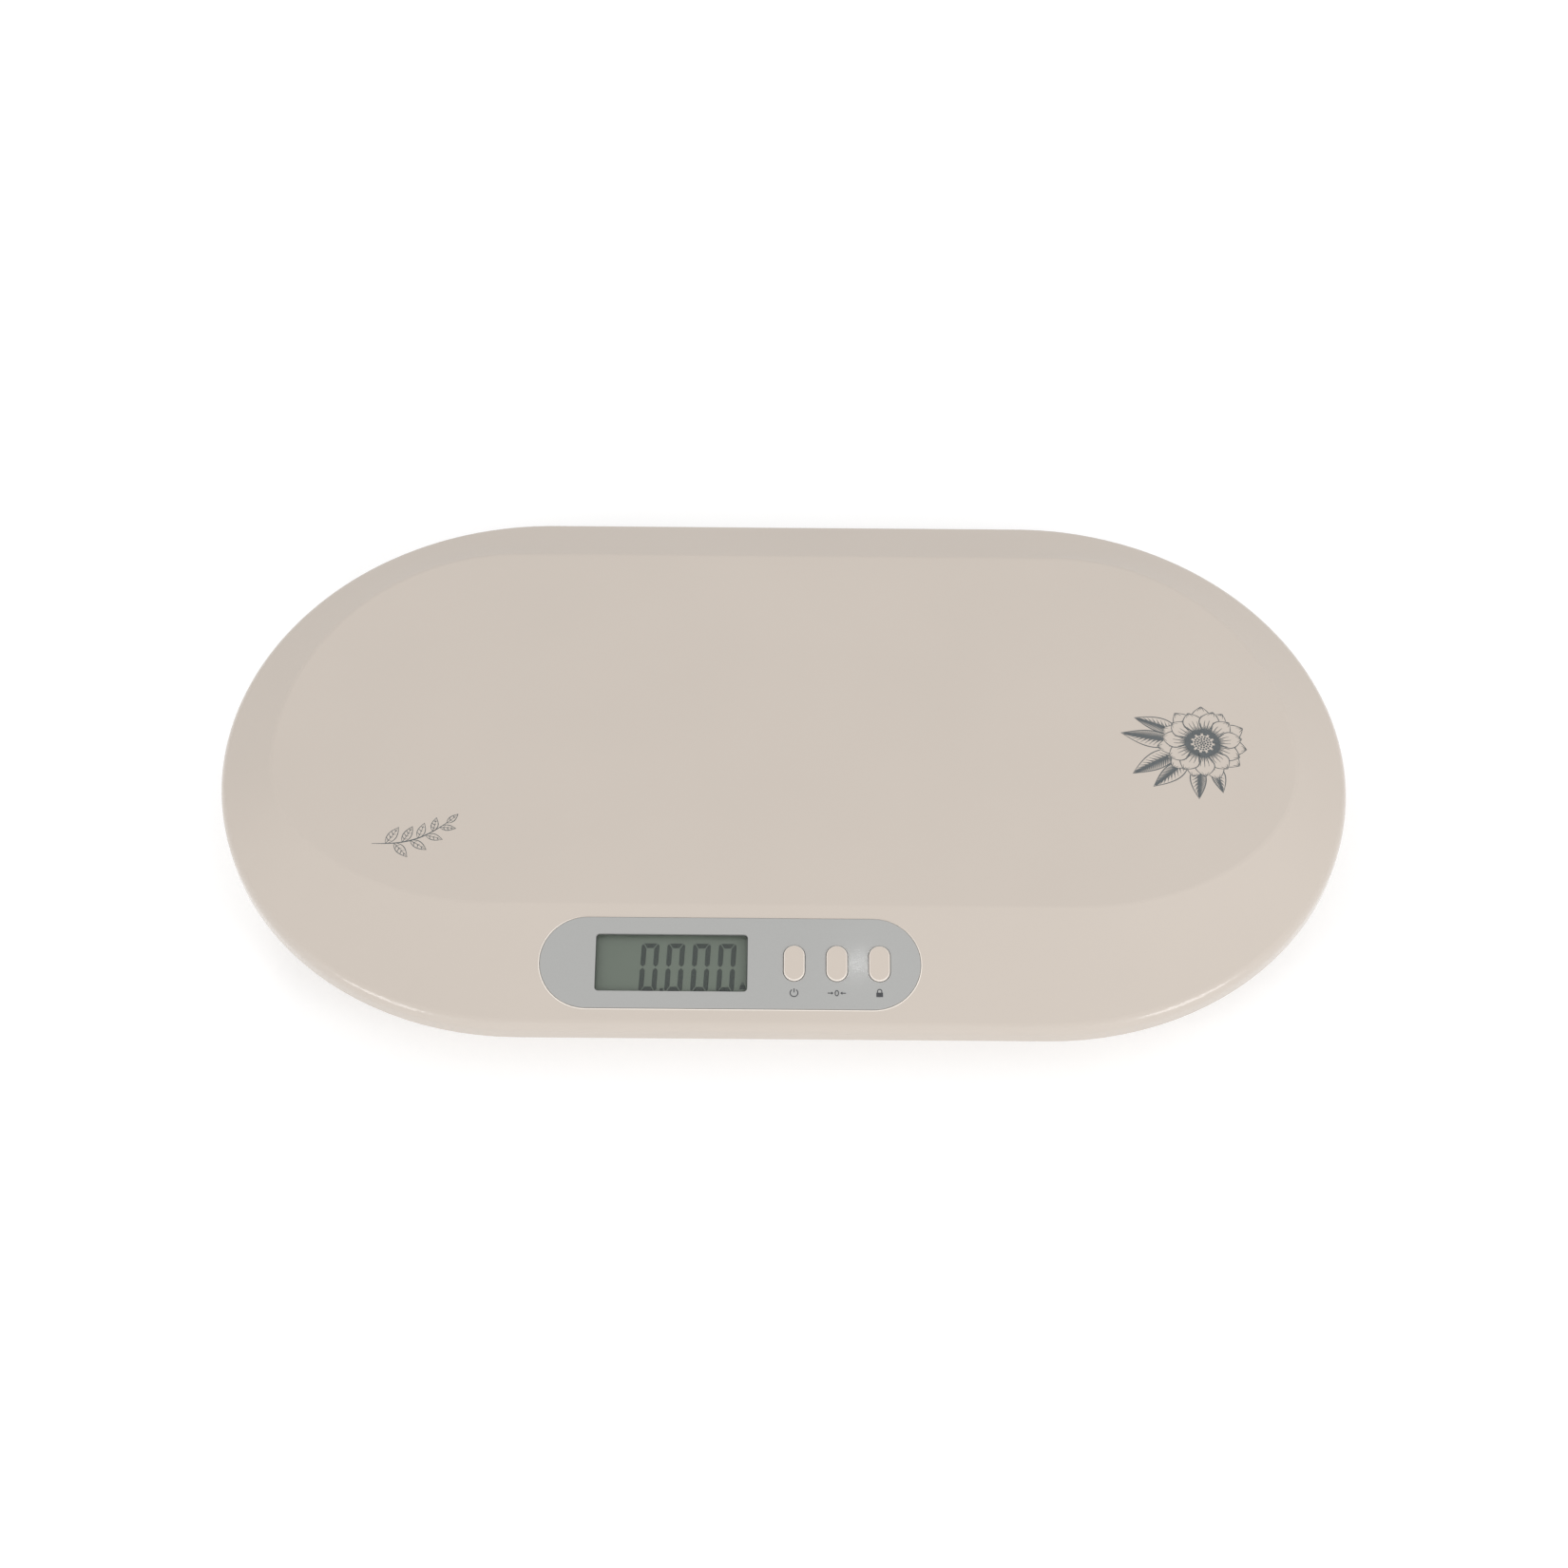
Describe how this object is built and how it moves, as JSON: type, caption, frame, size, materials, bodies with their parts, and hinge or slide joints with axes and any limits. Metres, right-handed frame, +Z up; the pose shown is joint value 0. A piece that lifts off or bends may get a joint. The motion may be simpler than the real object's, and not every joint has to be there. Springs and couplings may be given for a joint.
{
  "type": "digital baby weighing scale",
  "caption": "Low stadium-shaped baby scale with a raised flat plateau, a display and push buttons on its sloping front, on load cell feet.",
  "frame": {"origin": "on the table, under the centre of the tray: the bottom centre of the bounding box", "axes": "+X along the tray, -Y towards the side with the display, +Z up"},
  "size_m": [0.54, 0.3, 0.05],
  "materials": {
    "tray_plastic": "beige moulded plastic, soft semi-gloss",
    "cover_plastic": "beige moulded plastic, fine matt grain",
    "panel_plastic": "grey printed plate, satin",
    "button_plastic": "beige moulded plastic, satin",
    "lens_clear": "clear window, polished",
    "lcd_glass": "display glass with polarisers",
    "lcd_reflector": "grey-green rear reflector film",
    "black_foam": "closed-cell foam",
    "black_rubber": "conductive silicone strip",
    "inner_plastic": "white moulded plastic",
    "board_green": "green solder mask",
    "black_epoxy": "epoxy drop over the chip",
    "capacitor_sleeve": "dark sleeve",
    "bright_metal": "nickel plated",
    "battery_sleeve": "plain printed sleeve",
    "lead_sheath": "grey soft sheath",
    "screw_steel": "zinc plated",
    "cell_steel": "stamped spring steel, plated",
    "gauge_potting": "white silicone potting",
    "foot_plastic": "beige moulded plastic",
    "foot_rubber": "grey soft rubber",
    "switch_body": "black moulded body",
    "switch_plunger": "white moulded plunger"
  },
  "bodies": {
    "casing": {"top_tray": "tray_plastic", "bottom_cover": "cover_plastic", "display_panel": "panel_plastic", "display_lens": "lens_clear", "display_gasket": "black_foam", "lcd_glass": "lcd_glass", "lcd_reflector": "lcd_reflector", "lcd_holder": "inner_plastic", "lcd_connector_strip": "black_rubber", "circuit_board": "board_green", "controller_chip": "black_epoxy", "board_capacitors": "capacitor_sleeve", "board_crystal": "bright_metal", "lead_headers": "inner_plastic", "battery_cell_1": "battery_sleeve", "battery_cell_2": "battery_sleeve", "battery_cell_3": "battery_sleeve", "contact_plates": "bright_metal", "spring_plates": "bright_metal", "contact_springs": "bright_metal", "battery_lead": "lead_sheath", "cover_screws": "screw_steel", "board_screws": "screw_steel", "retainer_screws": "screw_steel", "power_switch": "switch_body", "tare_switch": "switch_body", "hold_switch": "switch_body", "load_cell_front_left": "cell_steel", "foot_carrier_front_left": "foot_plastic", "foot_pad_front_left": "foot_rubber", "cell_retainer_front_left": "inner_plastic", "gauge_cover_front_left": "gauge_potting", "cell_lead_front_left": "lead_sheath", "load_cell_front_right": "cell_steel", "foot_carrier_front_right": "foot_plastic", "foot_pad_front_right": "foot_rubber", "cell_retainer_front_right": "inner_plastic", "gauge_cover_front_right": "gauge_potting", "cell_lead_front_right": "lead_sheath", "load_cell_back_left": "cell_steel", "foot_carrier_back_left": "foot_plastic", "foot_pad_back_left": "foot_rubber", "cell_retainer_back_left": "inner_plastic", "gauge_cover_back_left": "gauge_potting", "cell_lead_back_left": "lead_sheath", "load_cell_back_right": "cell_steel", "foot_carrier_back_right": "foot_plastic", "foot_pad_back_right": "foot_rubber", "cell_retainer_back_right": "inner_plastic", "gauge_cover_back_right": "gauge_potting", "cell_lead_back_right": "lead_sheath"},
    "power_key": {"power_button": "button_plastic", "power_plunger": "switch_plunger"},
    "tare_key": {"tare_button": "button_plastic", "tare_plunger": "switch_plunger"},
    "hold_key": {"hold_button": "button_plastic", "hold_plunger": "switch_plunger"},
    "door": {"battery_door": "cover_plastic"}
  },
  "joints": [
    {"name": "power_press", "type": "slide", "parent": "casing", "child": "power_key", "axis": [0, 0.2274, -0.9738], "range_m": [0, 0.0005], "stiffness_N_per_m": 2400, "springref_m": -0.0001},
    {"name": "tare_press", "type": "slide", "parent": "casing", "child": "tare_key", "axis": [0, 0.2274, -0.9738], "range_m": [0, 0.0005], "stiffness_N_per_m": 2400, "springref_m": -0.0001},
    {"name": "hold_press", "type": "slide", "parent": "casing", "child": "hold_key", "axis": [0, 0.2274, -0.9738], "range_m": [0, 0.0005], "stiffness_N_per_m": 2400, "springref_m": -0.0001},
    {"name": "battery_door_hinge", "type": "hinge", "parent": "casing", "child": "door", "pos_m": [-0.03045, 0.022, 0.0102], "axis": [0, 1, 0], "range_deg": [0, 85]}
  ]
}
